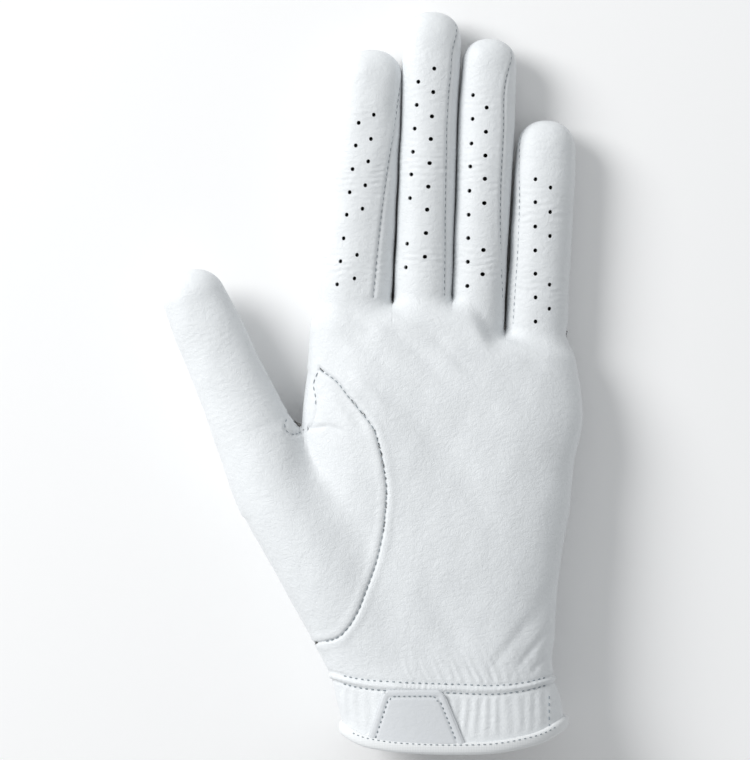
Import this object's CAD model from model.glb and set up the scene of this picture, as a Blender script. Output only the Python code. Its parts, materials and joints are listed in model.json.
"""The finished look of a left-hand leather golf glove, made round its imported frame.

Every leather panel is a sheet that lies on one smooth hand form. The form is a field that is
negative inside: rounded tubes for the digits, a squarish tube for the palm and cuff and an
oval one for the ball of the thumb, run together with a rounded join. A panel's grid sends a
ray to that form from each of its points, and the folds, seams and pleats push it in or out.
"""

import json
import math
from functools import partial

import bpy
import numpy as np
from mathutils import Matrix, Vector


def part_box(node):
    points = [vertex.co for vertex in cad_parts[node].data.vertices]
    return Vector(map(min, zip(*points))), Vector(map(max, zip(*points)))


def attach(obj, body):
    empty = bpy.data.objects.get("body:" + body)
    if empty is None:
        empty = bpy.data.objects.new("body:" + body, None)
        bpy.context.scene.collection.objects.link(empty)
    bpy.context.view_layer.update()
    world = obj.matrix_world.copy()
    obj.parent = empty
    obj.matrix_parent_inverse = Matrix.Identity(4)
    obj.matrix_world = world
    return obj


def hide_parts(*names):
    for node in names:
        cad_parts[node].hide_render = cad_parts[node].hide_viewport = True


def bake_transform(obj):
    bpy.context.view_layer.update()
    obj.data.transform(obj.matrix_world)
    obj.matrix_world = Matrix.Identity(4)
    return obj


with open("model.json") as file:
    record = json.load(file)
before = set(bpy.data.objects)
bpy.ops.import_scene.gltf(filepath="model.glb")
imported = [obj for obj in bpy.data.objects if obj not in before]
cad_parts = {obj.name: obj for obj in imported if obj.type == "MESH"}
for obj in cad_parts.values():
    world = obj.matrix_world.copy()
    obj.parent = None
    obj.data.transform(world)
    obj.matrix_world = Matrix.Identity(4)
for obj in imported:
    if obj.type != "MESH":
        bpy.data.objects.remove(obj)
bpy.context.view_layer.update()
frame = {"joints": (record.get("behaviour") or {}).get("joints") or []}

bl_info = {
    "name": "Golf Glove",
    "version": (1, 0, 0),
    "blender": (4, 5, 0),
    "location": "3D View > Sidebar > Glove",
    "description": "Makes the leather, seams and trims of a golf glove round its CAD frame",
    "category": "Object",
}

MM = 0.001
JOINTS = {joint["name"]: joint for joint in frame["joints"]}
FINGERS = ("index", "middle", "ring", "little")
UP, DOWN = np.array([0.0, 0.0, 1.0]), np.array([0.0, 0.0, -1.0])
FLOOR_GAP = 0.06
DIGIT_ROW_STEP = 0.42
LANE_COLS = 34
HOLE_SEED = 7
HOLE_MARGIN = 0.9


# Numbers that follow the frame, in millimetres ------------------------------------------
def joint_place(name):
    """A joint's point in millimetres and the unit vector of its hinge."""
    joint = JOINTS[name]
    return np.array(joint["pos_m"]) / MM, np.array(joint["axis"], float)


def node_box(node):
    """A CAD node's lowest and highest corners in millimetres."""
    low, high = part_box(node)
    return np.array(low) / MM, np.array(high) / MM


def through(table, x, column=1):
    """A smooth curve through the rows of a table, read at x, and level beyond its ends.

    Between two rows it is the cubic whose slopes are those of the lines joining each row's
    neighbours."""
    table = np.asarray(table, float)
    xs, vs = table[:, 0], table[:, column]
    slopes = np.gradient(vs, xs)
    i = np.clip(np.searchsorted(xs, x) - 1, 0, len(xs) - 2)
    step = xs[i + 1] - xs[i]
    t = np.clip((x - xs[i]) / step, 0, 1)
    a = (1 + 2 * t) * (1 - t) ** 2 * vs[i] + t * t * (3 - 2 * t) * vs[i + 1]
    return a + step * (t * (1 - t) ** 2 * slopes[i] - t * t * (1 - t) * slopes[i + 1])


def ease(x, low=0.0, high=1.0):
    """Rises smoothly from 0 at low to 1 at high."""
    t = np.clip((x - low) / (high - low), 0, 1)
    return t * t * (3 - 2 * t)


def hump(x, centre, width):
    """A bell of height 1 about centre."""
    return np.exp(-(((x - centre) / width) ** 2))


def melt(a, b, radius):
    """The lesser of two fields, with their meeting rounded over radius."""
    h = np.maximum(radius - np.abs(a - b), 0) / radius
    return np.minimum(a, b) - h * h * radius / 4


# The hand form --------------------------------------------------------------------------
# Palm: y, left x, right x, lowest z, highest z
PALM = (
    (-118.0, -8.0, 58.8, 3.2, 38.6),
    (-105.0, -9.8, 58.4, 3.2, 37.0),
    (-97.6, -11.6, 57.1, 3.2, 35.9),
    (-92.0, -12.6, 55.4, 3.3, 34.9),
    (-86.6, -14.2, 54.7, 3.2, 34.2),
    (-78.0, -16.4, 55.5, 2.6, 33.3),
    (-66.0, -18.8, 56.2, 1.0, 32.2),
    (-53.0, -19.8, 57.8, -0.2, 31.0),
    (-38.7, -21.0, 60.2, -0.8, 29.6),
    (-24.0, -22.2, 61.8, -1.0, 28.2),
    (-13.0, -22.2, 64.2, -1.0, 26.8),
    (-4.0, -21.4, 63.8, -1.0, 25.4),
    (6.0, -19.9, 62.2, -0.8, 23.6),
    (17.0, -18.2, 61.2, -0.6, 21.4),
    (32.0, -16.8, 60.6, 0.0, 18.6),
)
PALM_POWER = 2.5
DIGIT_POWER = 2.2
# Where the palm's own solid ends between the fingers: x, y
PALM_END = ((-22.0, 22.0), (4.0, 22.5), (23.0, 23.5), (30.0, 21.5), (36.0, 14.0),
            (42.0, 13.0), (64.0, 13.0))
# The ball of the thumb: y, middle x, half width, middle z, half height
THUMB_BALL = (
    (-96.0, 8.0, 11.0, 18.5, 10.0),
    (-80.0, -3.6, 12.3, 18.0, 12.4),
    (-65.0, -11.8, 14.4, 17.4, 14.2),
    (-50.0, -20.6, 14.9, 16.4, 14.4),
    (-35.0, -28.4, 14.6, 15.4, 13.6),
    (-22.0, -34.0, 12.6, 14.8, 12.0),
    (-10.0, -39.0, 10.0, 14.5, 9.6),
    (4.0, -44.6, 8.0, 14.3, 7.6),
)
# Each digit: rows of (distance from its base joint, half width, half height), where the
# domed tip starts before the end, where its tube leaves the palm on its left and right, the
# angle of its face's free seam at each distance, its strips with the angles of their edges
# (None is the free seam), its other sunk seams, and its rows of perforations as (first
# distance, first offset, last distance, last offset, how many)
DIGITS = {
    "index": dict(
        girth=((-30, 10.0, 7.4), (-20, 11.2, 8.6), (-10, 11.35, 8.9), (10, 10.9, 8.8),
               (27, 10.4, 8.7), (43, 9.95, 8.3), (58, 9.3, 7.9)),
        dome=9.3, leaves=(-10.0, -10.0),
        seams=((-12, 36), (6, 38.5), (24, 44), (42, 57), (52, 68), (62, 85)),
        strips={"face": (-95, None), "right_fourchette": (None, 135), "back": (135, 265)},
        sunk=(135, 265),
        holes=((-3.9, -0.7, 46.7, 1.8, 8), (-6.2, -6.5, 44.1, -3.4, 8)),
    ),
    "middle": dict(
        girth=((-30, 8.0, 7.4), (-20, 8.9, 8.7), (-10, 8.95, 9.0), (12, 8.8, 9.0),
               (30, 8.8, 9.0), (47, 8.65, 8.4), (62, 9.0, 8.2), (72, 8.8, 7.8)),
        dome=8.8, leaves=(-11.5, -11.5), seams=((-12, 46), (56, 43), (66, 49), (73, 70)),
        strips={"face": (-82, None), "right_fourchette": (None, 135), "back": (135, 225),
                "left_fourchette": (-135, -82)},
        sunk=(135, 225, -82),
        holes=((0.8, 0.1, 58.7, 0.9, 9), (-2.6, -5.5, 54.6, -4.0, 9)),
    ),
    "ring": dict(
        girth=((-30, 7.4, 7.4), (-22, 8.1, 8.5), (-10, 8.15, 8.7), (5, 8.3, 8.8),
               (25, 8.5, 8.7), (42, 8.75, 8.2), (62, 8.3, 7.6)),
        dome=8.2, leaves=(-10.8, -18.2),
        seams=((-12, 66), (-3, 52), (8, 42), (40, 38), (58, 43), (66, 64)),
        strips={"face": (-82, None), "right_fourchette": (None, 135), "back": (135, 225),
                "left_fourchette": (-135, -82)},
        sunk=(135, 225, -82),
        holes=((-7.3, -3.6, 51.4, -4.9, 9), (-3.5, 0.7, 47.8, -0.3, 8)),
    ),
    "little": dict(
        girth=((-30, 8.4, 6.8), (-20, 9.3, 7.8), (-12, 9.5, 8.0), (0, 9.4, 8.1),
               (12, 9.3, 8.1), (33, 9.3, 7.8), (45, 8.9, 7.2)),
        dome=9.0, leaves=(-12.0, -12.0), seams=((-12, -54), (30, -59), (47, -76)),
        strips={"left_fourchette": (-130, None), "face": (None, 95), "back": (95, 230)},
        sunk=(95, 230),
        holes=((-10.1, -0.6, 33.8, -3.4, 7), (-5.9, 4.1, 31.2, 2.2, 6)),
    ),
    "thumb": dict(
        girth=((-20, 12.4, 11.2), (-8, 12.0, 10.9), (4, 11.2, 10.2), (16, 10.6, 9.4),
               (28, 10.4, 8.8), (36, 9.6, 8.2)),
        dome=9.6, leaves=(-8.0, -8.0), seams=((-20, 85), (50, 85)),
        strips={"face": (-95, 85), "back": (85, 265)},
        sunk=(-95,), holes=(),
    ),
}
for name, digit in DIGITS.items():
    base, hinge = joint_place("thumb_base_joint" if name == "thumb" else f"{name}_knuckle")
    bend, _ = joint_place("thumb_tip_joint" if name == "thumb" else f"{name}_middle_joint")
    along = (bend - base) / np.linalg.norm(bend - base)
    reach = max(node_box(f"{name}_upper_{strip}")[1][1] for strip in ("back", "face"))
    digit["base"], digit["along"] = base, along
    digit["side"] = np.array([along[1], -along[0], 0.0])
    digit["bend"] = float(np.linalg.norm(bend - base))
    digit["length"] = (reach - base[1]) / along[1] + (0.9 if name == "thumb" else 0.3)


def palm_field(x, y, z):
    """Squarish oval sections across the wrist, closed off at the forks of the fingers."""
    left, right, low, high = (through(PALM, y, k) for k in (1, 2, 3, 4))
    wide, tall = (right - left) / 2, (high - low) / 2
    u, v = np.abs((x - (left + right) / 2) / wide), np.abs((z - (low + high) / 2) / tall)
    radius = (u**PALM_POWER + v**PALM_POWER + 1e-12) ** (1 / PALM_POWER)
    skin = (radius - 1) * np.minimum(wide, tall)
    end = y - through(PALM_END, x)
    return -melt(-skin, -end, 7.0)


def ball_field(x, y, z):
    """Oval sections of the ball of the thumb, closed off above the web."""
    middle, wide, level, tall = (through(THUMB_BALL, y, k) for k in (1, 2, 3, 4))
    radius = np.sqrt(((x - middle) / wide) ** 2 + ((z - level) / tall) ** 2 + 1e-12)
    skin = (radius - 1) * np.minimum(wide, tall) * 0.9
    end = np.maximum(y, -94.0 - y)
    return -melt(-skin, -end, 5.0)


def digit_field(name, x, y, z):
    """An oval tube along the digit's axis, with a domed tip."""
    digit = DIGITS[name]
    dx, dy, dz = x - digit["base"][0], y - digit["base"][1], z - digit["base"][2]
    s = dx * digit["along"][0] + dy * digit["along"][1]
    q = dx * digit["side"][0] + dy * digit["side"][1]
    wide, tall = through(digit["girth"], s), through(digit["girth"], s, 2)
    start = digit["length"] - digit["dome"]
    beyond = np.maximum(s - start, 0) / digit["dome"]
    radius = (np.abs(q / wide) ** DIGIT_POWER + np.abs(dz / tall) ** DIGIT_POWER
              + beyond**DIGIT_POWER + 1e-12) ** (1 / DIGIT_POWER)
    return np.maximum((radius - 1) * np.minimum(wide, tall), -30.0 - s)


def hand_field(x, y, z):
    """The whole hand: digits run into the palm, and the thumb into its ball."""
    palm = melt(palm_field(x, y, z), ball_field(x, y, z), 2.5 + 5.0 * ease(-y, 18, 45))
    palm = melt(palm, digit_field("thumb", x, y, z), 2.5)
    fingers = np.minimum.reduce([digit_field(name, x, y, z) for name in FINGERS])
    return melt(palm, fingers, 3.5)


def own_field(name, x, y, z):
    """One digit with the palm that it grows from, and none of its neighbours."""
    palm = palm_field(x, y, z)
    if name == "thumb":
        palm = ball_field(x, y, z)
    return melt(palm, digit_field(name, x, y, z), 2.5 if name == "thumb" else 3.5)


def crossing(field, start, ray, reach):
    """How far along each ray the field turns positive, found by halving 18 times."""
    near, far = np.zeros(start.shape[:-1]), np.full(start.shape[:-1], float(reach))
    outside = field(*np.moveaxis(start, -1, 0)) >= 0
    for _ in range(18):
        middle = (near + far) / 2
        inside = field(*np.moveaxis(start + ray * middle[..., None], -1, 0)) < 0
        near, far = np.where(inside, middle, near), np.where(inside, far, middle)
    return np.where(outside, 0.0, (near + far) / 2)


def waist(x, y):
    """The height at which the hand is widest, where the palm side meets the back."""
    palm = (through(PALM, y, 3) + through(PALM, y, 4)) / 2
    thumb = DIGITS["thumb"]["base"][2]
    return palm + (thumb - palm) * ease(-x, 24, 34) * ease(y, -45, -18)


def skin_point(x, y, up):
    """The hand's surface above or below each x and y."""
    start = np.stack([x, y, waist(x, y)], -1)
    ray = np.array([0.0, 0.0, 1.0 if up else -1.0])
    point = start + ray * crossing(hand_field, start, ray, 34.0)[..., None]
    if not up:
        point[..., 2] = np.maximum(point[..., 2], FLOOR_GAP)
    return point


def edge_between(y, inside, outside):
    """The x of the hand's outline at each y, between a point inside it and one outside."""
    start = np.stack([inside, y, waist(inside, y)], -1)
    way = (outside - inside)[..., None] * np.array([1.0, 0.0, 0.0])
    for _ in range(2):
        share = crossing(hand_field, start, way, 1.0)
        start[..., 2] = waist(inside + share * (outside - inside), y)
    return inside + share * (outside - inside)


def palm_edge(y, side):
    """The x of the palm's outline. On the thumb side it is that of the index finger's
    side above the web, and below it that of the wrist or the ball of the thumb."""
    if side > 0:
        return edge_between(y, np.full_like(y, 30.0), np.full_like(y, 76.0))
    return edge_between(y, np.full_like(y, -8.0), through(WEB_GAP, y))


def thumb_edge(y):
    """The x of the outer outline of the thumb and its ball."""
    return edge_between(y, through(THUMB_MIDDLE, y), through(THUMB_MIDDLE, y) - 46.0)


def crotch():
    """Where the gap between the thumb and the palm closes: x and y."""
    low, high = WEB[1], -8.0
    for _ in range(20):
        y = np.array([(low + high) / 2])
        x = through(WEB_GAP, y)
        filled = hand_field(x, y, waist(x, y))[0] < 0
        low, high = (y[0], high) if filled else (low, y[0])
    return float(x[0]), float(y[0])


# Digits' rings --------------------------------------------------------------------------
def digit_skin(name, s, angle):
    """A digit's surface at a distance along it and an angle round it, in degrees."""
    digit, turn = DIGITS[name], np.radians(angle)
    start = digit["base"] + s[..., None] * digit["along"]
    ray = np.sin(turn)[..., None] * digit["side"]
    ray = ray + np.cos(turn)[..., None] * np.array([0.0, 0.0, 1.0])
    reach = crossing(partial(own_field, name), start, ray, 15.0)
    point = start + ray * reach[..., None]
    point[..., 2] = np.maximum(point[..., 2], FLOOR_GAP)
    return point, ray


def leaving(name, angle):
    """Where a digit leaves the palm, as a distance along it: it may slant across it."""
    left, right = DIGITS[name]["leaves"]
    return left + (right - left) * (1 + np.sin(np.radians(angle))) / 2


def root_ring(name, up, count):
    """The half ring where a digit leaves the palm, from its left to its right."""
    angle = np.linspace(-90, 90, count) if up else np.linspace(270, 90, count)
    return digit_skin(name, leaving(name, angle), angle)[0]


# Seams ----------------------------------------------------------------------------------
# Both ends of the curved seam round the ball of the thumb: y, x
SEAM_FOOT, SEAM_TOP = (-80.6, -18.2), (3.4, -16.8)
THUMB_SEAM = (
    SEAM_FOOT, (-80.0, -15.0), (-79.5, -13.0), (-78.6, -11.0), (-76.4, -8.6), (-71.1, -5.1),
    (-64.7, -2.5), (-55.3, 0.8), (-47.2, 2.6), (-38.3, 3.6), (-33.1, 3.8), (-26.6, 2.9),
    (-19.6, 1.4), (-15.1, 0.0), (-10.1, -3.6), (-5.2, -7.7), (0.4, -12.4), SEAM_TOP,
)
# The side seam under the index finger, from the web up to the curved seam
SIDE_SEAM = ((-15.4, -21.8), (-14.6, -20.2), (-12.0, -18.6), (-6.0, -17.9), (-1.0, -18.5),
             SEAM_TOP)
WEB = (-21.8, -15.4)
# Clear of both sides of the gap between thumb and palm, and of the wrist below: y, x
WEB_GAP = ((-110.0, -40.0), (-70.0, -50.0), (-40.0, -60.0), (-16.0, -52.0), (-14.8, -22.6),
           (-12.9, -23.3), (-9.0, -24.9), (-2.0, -27.0), (10.0, -30.0), (30.0, -34.0))
# The middle of the thumb's leather, from the wrist to the web: y, x
THUMB_MIDDLE = (SEAM_FOOT, (-60.0, -18.6), (-38.0, -20.2), (-15.4, -21.8))
# Lines through the palm from between the fingers to the hem: y, x
FORK_LINES = (
    ((-116.0, 9.0), (-60.0, 6.5), (0.0, 5.2), (26.0, 5.7)),
    ((-116.0, 21.0), (-60.0, 21.0), (0.0, 22.8), (26.0, 24.2)),
    ((-116.0, 38.5), (-60.0, 38.5), (0.0, 40.0), (18.0, 40.4)),
)
# The hem's two ends, and the hem on the palm side and on the back: x, y
HEM_LEFT, HEM_RIGHT = (-10.0, -106.6), (58.6, -104.6)
HEM_PALM = (HEM_LEFT, (-4.0, -109.6), (4.0, -111.2), (14.0, -111.9), (28.0, -112.1),
            (36.0, -111.8), (44.0, -110.6), (52.0, -108.4), HEM_RIGHT)
HEM_BACK = (HEM_LEFT, (0.0, -103.0), (20.0, -101.0), (40.0, -101.2), HEM_RIGHT)
# The stitched top and foot of the casing round the wrist elastic: x, y
CASING_TOP = ((-13.0, -89.6), (-3.5, -91.4), (6.0, -92.1), (25.0, -92.8), (38.0, -93.2),
              (46.0, -92.4), (56.0, -90.2))
CASING_FOOT = ((-12.6, -91.9), (-3.5, -94.0), (6.0, -94.7), (25.0, -95.3), (38.0, -95.6),
               (46.0, -94.7), (56.0, -92.4))


def line_points(table, low, high, count):
    """Points of a seam given as x for each y, evenly spaced in length."""
    y = np.linspace(low, high, 600)
    x = through(table, y)
    length = np.concatenate([[0], np.cumsum(np.hypot(np.diff(x), np.diff(y)))])
    even = np.linspace(0, length[-1], count)
    return np.stack([np.interp(even, length, x), np.interp(even, length, y)], -1)


def distance_to(points, x, y):
    """The distance from each x and y to the nearest of a dense row of points."""
    flat = np.stack([x.ravel(), y.ravel()], -1)
    best = np.full(len(flat), 1e9)
    for part in np.array_split(points, max(1, len(points) // 24)):
        gap = np.hypot(flat[:, :1] - part[:, 0], flat[:, 1:] - part[:, 1])
        best = np.minimum(best, gap.min(1))
    return best.reshape(x.shape)


SEAM_POINTS = line_points(THUMB_SEAM, SEAM_FOOT[0], SEAM_TOP[0], 900)
SIDE_POINTS = line_points(SIDE_SEAM, -15.0, SEAM_TOP[0], 180)
# The short seam that sets a tuck into the web, on the thumb's side: x, y
QUIRK = np.array([(-26.9, -11.8), (-27.4, -14.4), (-26.5, -16.0), (-24.7, -16.7), (-22.2, -15.9)])


# Folds, pleats and creases --------------------------------------------------------------
def ripples(x, y, size, seed, count=9):
    """Soft uneven waves of about one size, from -1 to 1: sines in scattered directions."""
    draw = np.random.default_rng(seed)
    total = np.zeros(np.broadcast(x, y).shape)
    for _ in range(count):
        turn, phase = draw.uniform(0, 2 * np.pi, 2)
        wave = 2 * np.pi / (size * draw.uniform(0.7, 1.5))
        total = total + np.sin(wave * (x * np.cos(turn) + y * np.sin(turn)) + phase)
    return total / count**0.5 / 1.4


def dense(points, count):
    """Evenly spaced points along the smooth line through a few."""
    length = np.concatenate([[0], np.cumsum(np.hypot(*np.diff(points, axis=0).T))])
    even = np.linspace(0, length[-1], count)
    return np.stack([through(np.stack([length, points[:, k]], -1), even) for k in (0, 1)], -1)


QUIRK_POINTS = dense(QUIRK, 80)


def along_line(x, y, start, end, width):
    """A soft ridge of height 1 from start to end, fading at both ends."""
    ax, ay = end[0] - start[0], end[1] - start[1]
    length = math.hypot(ax, ay)
    t = ((x - start[0]) * ax + (y - start[1]) * ay) / length
    off = ((x - start[0]) * ay - (y - start[1]) * ax) / length
    fade = ease(t, 0, 0.35 * length) * (1 - ease(t, 0.65 * length, length))
    return hump(off, 0, width) * fade


def settle(point, relief):
    """Fades a relief where the palm side meets the back, so that the two stay joined."""
    return relief * ease(np.abs(point[..., 2] - waist(point[..., 0], point[..., 1])), 0.0, 2.5)


def palm_relief(x, y):
    """How far the palm side stands out of the hand form, in millimetres."""
    out = 0.22 * ripples(x, y, 26.0, 3) + 0.07 * ripples(x, y, 9.0, 4)
    out = out - 1.3 * np.exp(-(((x - 22) / 17) ** 2) - (((y + 30) / 34) ** 2))
    # Soft folds that run from between the fingers across the palm
    folds = (
        ((-2, 2), (34, -30), 3.4, -0.5), ((4, 14), (44, -16), 3.0, -0.4),
        ((6, -8), (42, -48), 4.2, -0.45), ((20, 10), (54, -6), 3.2, -0.35),
        ((-12, 18), (8, 2), 2.6, -0.45), ((-14, 27), (2, 12), 2.0, -0.35),
        ((58, -60), (40, -86), 3.0, -0.4), ((12, -60), (30, -86), 3.5, -0.35),
        ((58, -71), (42, -90), 1.1, -0.45), ((58, -78), (47, -91), 0.9, -0.4),
        ((50, -70), (34, -90), 1.6, -0.3), ((-14, 1), (-1, -17), 1.9, -0.6),
        ((-8, 3), (6, -10), 1.3, 0.25), ((0, 20), (20, 4), 1.8, -0.35),
        ((14, 18), (34, -2), 1.8, -0.3), ((34, 14), (56, 2), 2.0, -0.35),
    )
    for start, end, width, depth in folds:
        out = out + depth * along_line(x, y, start, end, width)
    # The seam round the ball of the thumb: a sunk line with the leather swelling beside it
    gap = distance_to(SEAM_POINTS, x, y)
    out = out - 0.5 * hump(gap, 0, 0.45) + 0.16 * hump(gap, 1.7, 1.1)
    gap = distance_to(SIDE_POINTS, x, y)
    out = out - 0.35 * hump(gap, 0, 0.5)
    # The fold of the web into the ball of the thumb
    gap = distance_to(QUIRK_POINTS, x, y)
    out = out - 0.4 * hump(gap, 0, 0.5) + 0.15 * hump(gap, 1.2, 0.8)
    web = np.array([(-21.5, -15.2), (-18.0, -14.6), (-14.5, -14.2), (-11.0, -15.2), (-7.5, -17.0)])
    out = out - 0.5 * hump(distance_to(dense(web, 60), x, y), 0, 0.7) * (1 - ease(x, -13, -7))
    return out + cuff_relief(x, y)


def cuff_relief(x, y):
    """The casing of the wrist elastic, its gathers above and the pleats below it."""
    top, foot = through(CASING_TOP, x), through(CASING_FOOT, x)
    middle, half = (top + foot) / 2, (top - foot) / 2
    out = 0.55 * np.exp(-(((y - middle) / (half * 0.8)) ** 4))
    out = out - 0.38 * hump(y, top, 0.4) - 0.38 * hump(y, foot, 0.4)
    out = out * (1 - ease(y, -88, -84))
    side = ease(x, 12, 34)
    lean = x + 0.45 * (y - top)
    gathers = np.sin(2 * np.pi * lean / 2.9 + 1.7 * ripples(x, y, 12.0, 11))
    gathers = gathers + 0.6 * np.sin(2 * np.pi * lean / 1.9 + 2.1 * ripples(x, y, 9.0, 12))
    above = hump(y, top + 1.5, 7.0) * ease(y, top - 0.5, top + 2.0)
    out = out + 0.13 * gathers * above * (0.35 + 0.65 * side)
    on_casing = np.exp(-(((y - middle) / (half * 1.1)) ** 2))
    out = out + 0.10 * np.sin(2 * np.pi * x / 1.35 + 2 * ripples(x, y, 7.0, 14)) * on_casing
    pleats = np.sin(2 * np.pi * x / 3.3 + 1.5 * ripples(x, y * 0.3, 10.0, 13))
    below = ease(foot - y, 0.3, 2.5) * (1 - ease(foot - y, 9.0, 15.0))
    return out + 0.14 * pleats * below


def back_relief(x, y):
    """How far the back of the hand stands out of the hand form."""
    out = 0.16 * ripples(x, y, 30.0, 21) + 0.05 * ripples(x, y, 8.0, 22)
    return out * ease(y, -100, -60)


def thumb_back_relief(x, y):
    """How far the back of the thumb's root stands out of the hand form."""
    return 0.12 * ripples(x, y, 20.0, 25)


def digit_relief(name, s, angle):
    """How far a digit's leather stands out: creases where it bends, and sunk seams."""
    digit, turn = DIGITS[name], np.radians(angle)
    seed = 30 + len(name) * 3 + ord(name[0]) % 7
    round_it = 9.5 * turn
    wobble = ripples(s, round_it, 9.0, seed)
    on_palm_side = ease(np.cos(turn), -0.2, 0.6)
    out = 0.10 * ripples(s, round_it, 14.0, seed + 1)
    soft = 0.35 if name == "thumb" else 1.0
    bands = ((digit["bend"] * 1.22, 7.5, 0.06), (0.0, 5.0, 0.06),
             (digit["bend"] * 2.15, 5.0, 0.03))
    for centre, width, depth in bands:
        wave = np.sin(2 * np.pi * s / 1.75 + 2.4 * wobble)
        wave = wave + 0.7 * np.sin(2 * np.pi * s / 2.9 + 2.0 * ripples(s, round_it, 6.0, seed + 2))
        out = out + soft * depth * wave * hump(s, centre, width) * on_palm_side
    for seam in (through(digit["seams"], s), *digit["sunk"]):
        gap = np.abs((angle - seam + 180) % 360 - 180) * np.pi / 180 * 9.0
        out = out - 0.34 * hump(gap, 0, 0.42) + 0.10 * hump(gap, 1.3, 0.8)
    return out


# Meshes ---------------------------------------------------------------------------------
def grid_normals(points):
    """The unit normal at each point of a grid, from the slopes along its rows and columns."""
    down = np.gradient(points, axis=0)
    across = np.gradient(points, axis=1)
    normal = np.cross(across, down)
    size = np.linalg.norm(normal, axis=-1, keepdims=True)
    return normal / np.maximum(size, 1e-9)


def shell(points, thick, outward, keep=None, first_pole=False, last_pole=False):
    """A grid given a wall: the outer sheet, the same sheet thick further in, and a rim
    round every open edge. A pole is a row whose points are all one point.

    Gives vertices, faces, a normal for each corner and which faces are outer ones."""
    rows, cols = points.shape[:2]
    normal = grid_normals(points)
    for row, near in ((0, 1), (-1, -2)):
        if (first_pole and row == 0) or (last_pole and row == -1):
            normal[row] = normal[near].mean(0) / np.linalg.norm(normal[near].mean(0))
    flip = np.sum(normal * outward) < 0
    normal = -normal if flip else normal
    index = np.arange(rows * cols).reshape(rows, cols)
    if first_pole:
        index[0, :] = index[0, 0]
    if last_pole:
        index[-1, :] = index[-1, 0]
    a, b, c, d = index[:-1, :-1], index[:-1, 1:], index[1:, 1:], index[1:, :-1]
    quads = np.stack([a, d, c, b] if flip else [a, b, c, d], -1)
    keep = np.ones(a.shape, bool) if keep is None else keep
    quads = quads[keep]
    count = rows * cols
    verts = np.concatenate([points.reshape(-1, 3), (points - normal * thick).reshape(-1, 3)])
    normals = np.concatenate([normal.reshape(-1, 3), -normal.reshape(-1, 3)])
    edges = np.stack([quads, np.roll(quads, -1, 1)], -1).reshape(-1, 2)
    edges = edges[edges[:, 0] != edges[:, 1]]
    keys = edges[:, 0] * (2 * count) + edges[:, 1]
    backs = edges[:, 1] * (2 * count) + edges[:, 0]
    p, q = edges[~np.isin(keys, backs)].T
    rim = np.stack([q, p, p + count, q + count], -1)
    sheets = np.concatenate([quads, quads[:, ::-1] + count])
    return verts, normals, sheets, rim, len(quads)


def build_piece(name, shells, outside, inside):
    """One mesh object from several walled sheets, with a smooth skin and crisp rims.

    A quad whose corner repeats, as at a pole, becomes a triangle."""
    parts, first = [], 0
    for verts, normals, sheets, rim, outer in shells:
        used, faces = np.unique(np.concatenate([sheets, rim]), return_inverse=True)
        faces = faces.reshape(-1, 4)
        verts, corner = verts[used], normals[used][faces]
        a, b, c = (verts[faces[len(sheets):, k]] for k in range(3))
        side = np.cross(b - a, c - a)
        side /= np.maximum(np.linalg.norm(side, axis=1, keepdims=True), 1e-12)
        corner[len(sheets):] = side[:, None]
        single = faces != np.roll(faces, 1, 1)
        slot = np.r_[np.zeros(outer, int), np.ones(outer, int), np.zeros(len(rim), int)]
        parts.append((verts * MM, faces[single] + first, corner[single], single.sum(1), slot))
        first += len(verts)
    verts, corners, normals, sizes, slots = (np.concatenate(part) for part in zip(*parts))
    mesh = bpy.data.meshes.new(name)
    mesh.vertices.add(len(verts))
    mesh.loops.add(len(corners))
    mesh.polygons.add(len(sizes))
    mesh.vertices.foreach_set("co", verts.ravel())
    mesh.polygons.foreach_set("loop_start", (np.cumsum(sizes) - sizes).astype(np.int32))
    mesh.loops.foreach_set("vertex_index", corners.astype(np.int32))
    mesh.materials.append(outside)
    mesh.materials.append(inside)
    mesh.polygons.foreach_set("material_index", slots.astype(np.int32))
    mesh.polygons.foreach_set("use_smooth", np.ones(len(sizes), bool))
    mesh.update(calc_edges=True)
    mesh.normals_split_custom_set(normals)
    return finished_object(name, mesh)


def build_tape(name, verts, faces, finish):
    """One smooth mesh object from vertices in millimetres and faces, in one finish."""
    mesh = bpy.data.meshes.new(name)
    mesh.from_pydata((verts.reshape(-1, 3) * MM).tolist(), [], faces)
    mesh.polygons.foreach_set("use_smooth", np.ones(len(faces), bool))
    mesh.materials.append(material_named(finish))
    return finished_object(name, mesh)


def finished_object(name, mesh):
    """Keeps each point's place at rest in millimetres, so that a pattern stays on it, and
    puts the mesh in the scene."""
    place = np.empty(len(mesh.vertices) * 3, np.float32)
    mesh.vertices.foreach_get("co", place)
    mesh.attributes.new("rest", "FLOAT_VECTOR", "POINT").data.foreach_set("vector", place / MM)
    return link(name, mesh)


def link(name, data):
    """A new object in the scene, at the origin."""
    obj = bpy.data.objects.new(name, data)
    bpy.context.scene.collection.objects.link(obj)
    return obj


def settled(piece, body, nodes):
    """Fixes a piece to a body, or blends it between two, in place of its CAD nodes."""
    if isinstance(body, str):
        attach(piece, body)
    else:
        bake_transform(piece)
    if nodes:
        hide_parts(*nodes)


def push_out(points, outward, relief):
    """Moves each point of a grid along its normal."""
    normal = grid_normals(points)
    if np.sum(normal * outward) < 0:
        normal = -normal
    return points + normal * relief[..., None]


def raised(points, outward, relief, fade):
    """A sheet pushed out by its relief, which is taken down to nothing over the last share
    of its rows and where the palm side meets the back."""
    share = ease(np.linspace(1, 0, len(points)), 0.0, fade)[:, None]
    height = relief(points[..., 0], points[..., 1]) * share
    return push_out(points, outward, settle(points, height))


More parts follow.
